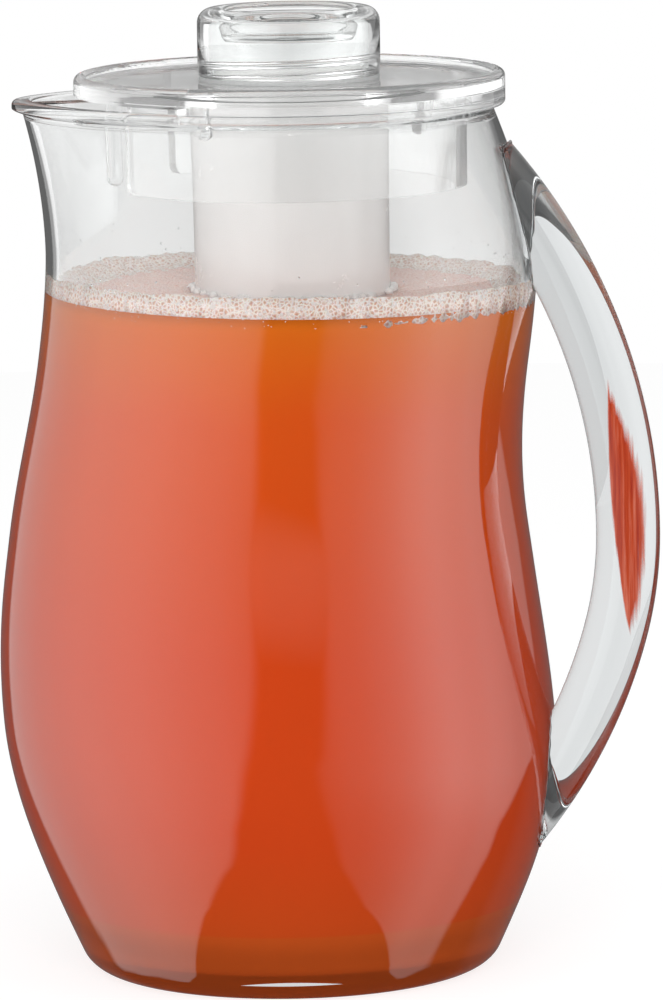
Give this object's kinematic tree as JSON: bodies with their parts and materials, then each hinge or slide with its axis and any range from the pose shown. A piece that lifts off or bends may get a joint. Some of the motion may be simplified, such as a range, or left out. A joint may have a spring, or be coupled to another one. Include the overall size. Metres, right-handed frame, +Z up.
{
  "type": "ice core jug",
  "caption": "Clear drinks jug with a leaning rounded body, pouring spout, bowed side handle, lift-off lid and a screwed-in ice tube that hangs inside the drink.",
  "frame": {"origin": "on the flat base, where the axis of the mouth, the lid and the ice tube meets it", "axes": "+Z up along the axis of the mouth, -X towards the spout, +X towards the handle"},
  "size_m": [0.1842, 0.1532, 0.2667],
  "materials": {
    "clear_body": "polished clear acrylic",
    "clear_handle": "polished clear acrylic",
    "clear_lid": "polished clear acrylic",
    "frosted_tube": "lightly frosted clear acrylic",
    "seal": "translucent silicone",
    "clear_knob": "polished clear acrylic"
  },
  "bodies": {
    "jug": {"jug_body": "clear_body", "handle": "clear_handle"},
    "lid": {"lid": "clear_lid"},
    "core": {"ice_tube": "frosted_tube", "tube_seal": "seal"},
    "knob_washer": {"knob_seal": "seal"},
    "knob": {"knob": "clear_knob"}
  },
  "joints": [
    {"name": "lid_lift", "type": "slide", "parent": "jug", "child": "lid", "axis": [0, 0, 1], "range_m": [0, 0.235]},
    {"name": "core_turn", "type": "hinge", "parent": "lid", "child": "core", "pos_m": [0, 0, 0.2436], "axis": [0, 0, 1], "continuous": true},
    {"name": "knob_rise", "type": "slide", "parent": "core", "child": "knob_washer", "axis": [0, 0, 1], "range_m": [0, 0.0045]},
    {"name": "knob_turn", "type": "hinge", "parent": "knob_washer", "child": "knob", "pos_m": [0, 0, 0.2482], "axis": [0, 0, 1], "range_deg": [0, 450]}
  ],
  "couplings": [
    {"joint": "knob_rise", "follows": "knob_turn", "m_per_rad": 0.000557}
  ]
}
